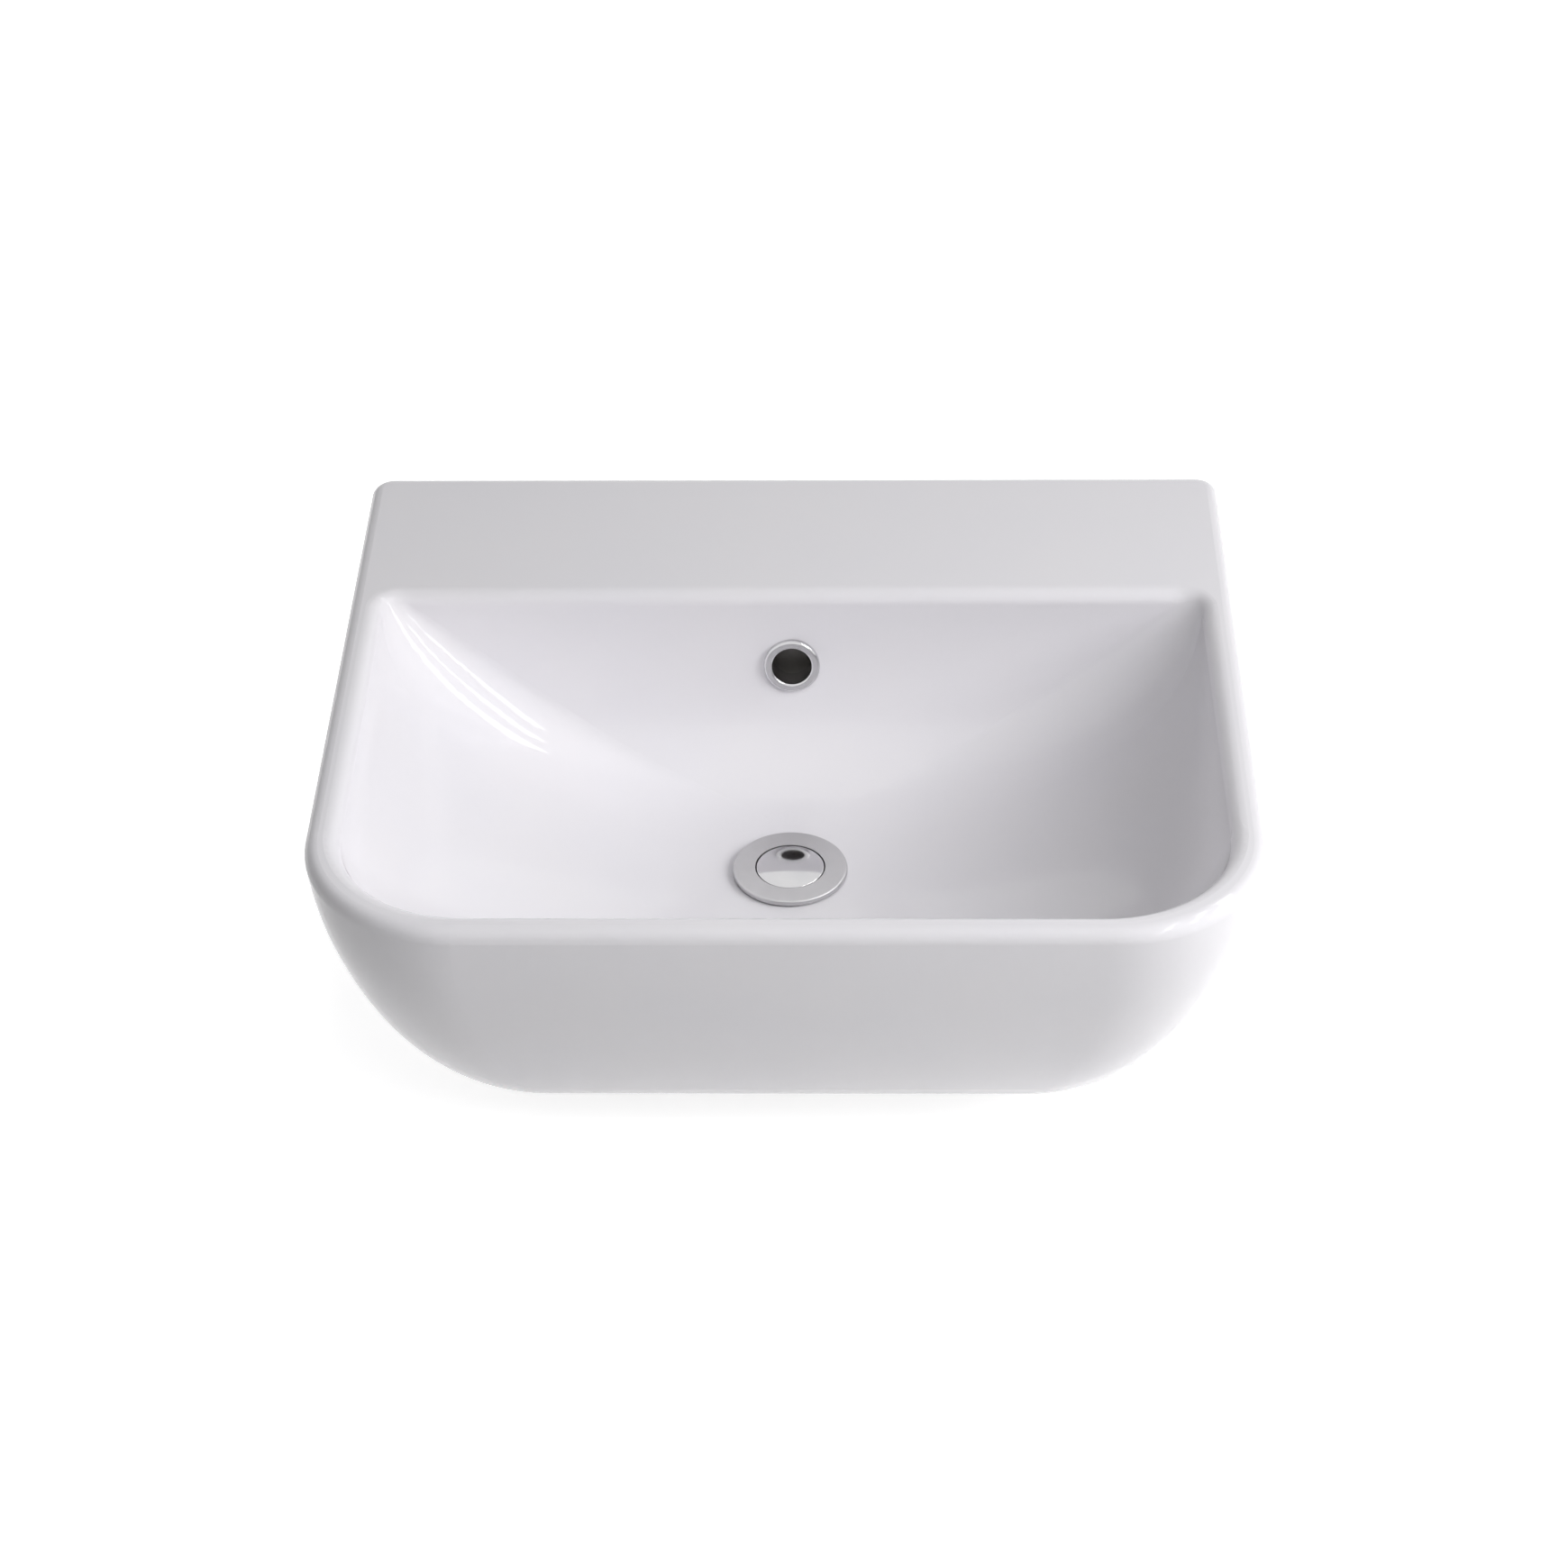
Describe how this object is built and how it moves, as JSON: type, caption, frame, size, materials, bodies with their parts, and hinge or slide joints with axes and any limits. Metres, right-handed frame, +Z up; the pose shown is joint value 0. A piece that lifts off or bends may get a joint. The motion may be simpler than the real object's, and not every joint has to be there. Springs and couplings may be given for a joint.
{
  "type": "semi-recessed basin",
  "caption": "White ceramic semi-recessed basin with a deep rear ledge, sloping bowl, ringed overflow and a click-clack waste.",
  "frame": {"origin": "where the wall, the top of the worktop and the basin's middle plane meet", "axes": "+X to the right seen from the front, +Y into the wall, +Z up"},
  "size_m": [0.4988, 0.4294, 0.192],
  "materials": {
    "glaze": "white gloss glaze, bare biscuit on the ground back, the seat and the foot",
    "chrome": "bright chrome plate on brass",
    "brass": "turned brass",
    "rubber": "black moulded rubber",
    "nylon": "natural nylon",
    "steel": "stainless spring and ball steel",
    "acetal": "white acetal"
  },
  "bodies": {
    "basin": {"basin_body": "glaze", "overflow_ring": "chrome", "overflow_seal": "rubber", "waste_body": "chrome", "flange_gasket": "rubber", "stem_wiper": "rubber", "cartridge_barrel": "brass", "cartridge_cap": "brass", "cartridge_end": "brass", "cartridge_locknut": "brass", "return_spring": "steel", "tail_seal": "rubber", "slip_washer": "nylon", "backnut": "brass"},
    "plug": {"plug_cap": "chrome", "plug_seal": "rubber", "plug_stem": "brass", "plug_jam_nut": "brass"},
    "follower": {"follower_ring": "acetal", "follower_balls": "steel"}
  },
  "joints": [
    {"name": "plug_travel", "type": "slide", "parent": "basin", "child": "plug", "axis": [0, 0, 1], "range_m": [-0.002, 0.009], "deforming": ["return_spring"]},
    {"name": "follower_turn", "type": "hinge", "parent": "basin", "child": "follower", "pos_m": [0, -0.237, -0.09025], "axis": [0, 0, 1], "range_deg": [-16.5, 73.8]}
  ],
  "couplings": [
    {"joint": "follower_turn", "follows": "plug_travel", "rad_per_m": 142.8}
  ]
}
